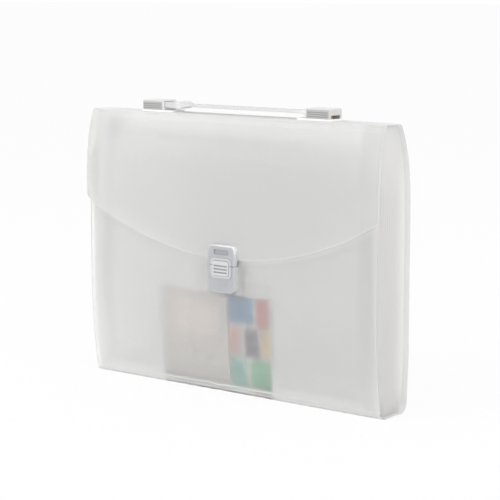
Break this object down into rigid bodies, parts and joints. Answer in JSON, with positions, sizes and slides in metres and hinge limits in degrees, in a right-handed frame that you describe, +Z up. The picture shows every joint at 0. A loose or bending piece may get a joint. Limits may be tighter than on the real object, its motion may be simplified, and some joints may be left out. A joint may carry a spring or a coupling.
{
  "type": "expanding file",
  "caption": "Briefcase-style expanding file of frosted plastic: covers round a pleated bellows with dividers, a flap with a push-button latch, and a sliding strap handle.",
  "frame": {"origin": "on the table, under the middle of the standing file's overall box", "axes": "+Z up; the flap and the latch face -Y; +X along the file's width, to the right seen from its back"},
  "size_m": [0.33, 0.0538, 0.2604],
  "materials": {
    "cover_film": "frosted, translucent",
    "bellows_film": "frosted, translucent",
    "divider_film": "frosted, translucent",
    "leaflet_paper": "printed paper",
    "label_card": "printed card",
    "handle_plastic": "satin",
    "inner_plastic": "satin",
    "rivet_brass": "polished",
    "strap_plastic": "translucent",
    "latch_plastic": "satin",
    "spring_steel": "bright"
  },
  "bodies": {
    "root": {"back_panel": "cover_film", "bellows": "bellows_film"},
    "lid": {"top_strip": "cover_film", "base_plate_left": "handle_plastic", "base_plate_right": "handle_plastic", "bracket_left": "handle_plastic", "bracket_right": "handle_plastic", "inner_plate_left": "inner_plastic", "inner_plate_right": "inner_plastic", "handle_rivets": "rivet_brass"},
    "strap": {"handle_strap": "strap_plastic"},
    "flap": {"flap_panel": "cover_film", "latch_plate": "latch_plastic", "latch_back_plate": "inner_plastic"},
    "front": {"front_panel": "cover_film", "latch_catch": "latch_plastic", "catch_back_plate": "inner_plastic", "latch_spring": "spring_steel", "leaflet": "leaflet_paper", "index_label_sheet": "label_card"},
    "button": {"latch_button": "latch_plastic"},
    "divider_01": {"divider_01": "divider_film"},
    "divider_02": {"divider_02": "divider_film"},
    "divider_03": {"divider_03": "divider_film"},
    "divider_04": {"divider_04": "divider_film"},
    "divider_05": {"divider_05": "divider_film"},
    "divider_06": {"divider_06": "divider_film"},
    "divider_07": {"divider_07": "divider_film"},
    "divider_08": {"divider_08": "divider_film"},
    "divider_09": {"divider_09": "divider_film"},
    "divider_10": {"divider_10": "divider_film"},
    "divider_11": {"divider_11": "divider_film"},
    "divider_12": {"divider_12": "divider_film"}
  },
  "joints": [
    {"name": "lid_open", "type": "hinge", "parent": "root", "child": "lid", "pos_m": [0, 0.0112, 0.2496], "axis": [-1, 0, 0], "range_deg": [0, 150]},
    {"name": "flap_bend", "type": "hinge", "parent": "lid", "child": "flap", "pos_m": [0, -0.0112, 0.2496], "axis": [-1, 0, 0], "range_deg": [0, 150]},
    {"name": "front_fan", "type": "hinge", "parent": "root", "child": "front", "pos_m": [0, -0.0127, 0.0052], "axis": [1, 0, 0], "range_deg": [0, 26], "deforming": ["bellows"]},
    {"name": "latch_press", "type": "slide", "parent": "front", "child": "button", "axis": [0, 1, 0], "range_m": [0, 0.0015], "stiffness_N_per_m": 300, "deforming": ["latch_spring"]},
    {"name": "handle_slide", "type": "slide", "parent": "lid", "child": "strap", "axis": [1, 0, 0], "range_m": [-0.0166, 0]},
    {"name": "divider_01_fan", "type": "hinge", "parent": "root", "child": "divider_01", "pos_m": [0, -0.0127, 0.0052], "axis": [1, 0, 0], "range_deg": [0, 0.5]},
    {"name": "divider_02_fan", "type": "hinge", "parent": "root", "child": "divider_02", "pos_m": [0, -0.0127, 0.0052], "axis": [1, 0, 0], "range_deg": [0, 1.7]},
    {"name": "divider_03_fan", "type": "hinge", "parent": "root", "child": "divider_03", "pos_m": [0, -0.0127, 0.0052], "axis": [1, 0, 0], "range_deg": [0, 3.5]},
    {"name": "divider_04_fan", "type": "hinge", "parent": "root", "child": "divider_04", "pos_m": [0, -0.0127, 0.0052], "axis": [1, 0, 0], "range_deg": [0, 5.9]},
    {"name": "divider_05_fan", "type": "hinge", "parent": "root", "child": "divider_05", "pos_m": [0, -0.0127, 0.0052], "axis": [1, 0, 0], "range_deg": [0, 8.5]},
    {"name": "divider_06_fan", "type": "hinge", "parent": "root", "child": "divider_06", "pos_m": [0, -0.0127, 0.0052], "axis": [1, 0, 0], "range_deg": [0, 11.4]},
    {"name": "divider_07_fan", "type": "hinge", "parent": "root", "child": "divider_07", "pos_m": [0, -0.0127, 0.0052], "axis": [1, 0, 0], "range_deg": [0, 14.3]},
    {"name": "divider_08_fan", "type": "hinge", "parent": "root", "child": "divider_08", "pos_m": [0, -0.0127, 0.0052], "axis": [1, 0, 0], "range_deg": [0, 17.2]},
    {"name": "divider_09_fan", "type": "hinge", "parent": "root", "child": "divider_09", "pos_m": [0, -0.0127, 0.0052], "axis": [1, 0, 0], "range_deg": [0, 19.8]},
    {"name": "divider_10_fan", "type": "hinge", "parent": "root", "child": "divider_10", "pos_m": [0, -0.0127, 0.0052], "axis": [1, 0, 0], "range_deg": [0, 22.2]},
    {"name": "divider_11_fan", "type": "hinge", "parent": "root", "child": "divider_11", "pos_m": [0, -0.0127, 0.0052], "axis": [1, 0, 0], "range_deg": [0, 24]},
    {"name": "divider_12_fan", "type": "hinge", "parent": "root", "child": "divider_12", "pos_m": [0, -0.0127, 0.0052], "axis": [1, 0, 0], "range_deg": [0, 25.2]}
  ],
  "couplings": [
    {"joint": "front_fan", "follows": "lid_open", "ratio": 0.17},
    {"joint": "divider_01_fan", "follows": "lid_open", "ratio": 0.00286},
    {"joint": "divider_02_fan", "follows": "lid_open", "ratio": 0.01083},
    {"joint": "divider_03_fan", "follows": "lid_open", "ratio": 0.02298},
    {"joint": "divider_04_fan", "follows": "lid_open", "ratio": 0.03838},
    {"joint": "divider_05_fan", "follows": "lid_open", "ratio": 0.0561},
    {"joint": "divider_06_fan", "follows": "lid_open", "ratio": 0.07521},
    {"joint": "divider_07_fan", "follows": "lid_open", "ratio": 0.09479},
    {"joint": "divider_08_fan", "follows": "lid_open", "ratio": 0.1139},
    {"joint": "divider_09_fan", "follows": "lid_open", "ratio": 0.13162},
    {"joint": "divider_10_fan", "follows": "lid_open", "ratio": 0.14702},
    {"joint": "divider_11_fan", "follows": "lid_open", "ratio": 0.15917},
    {"joint": "divider_12_fan", "follows": "lid_open", "ratio": 0.16714}
  ]
}
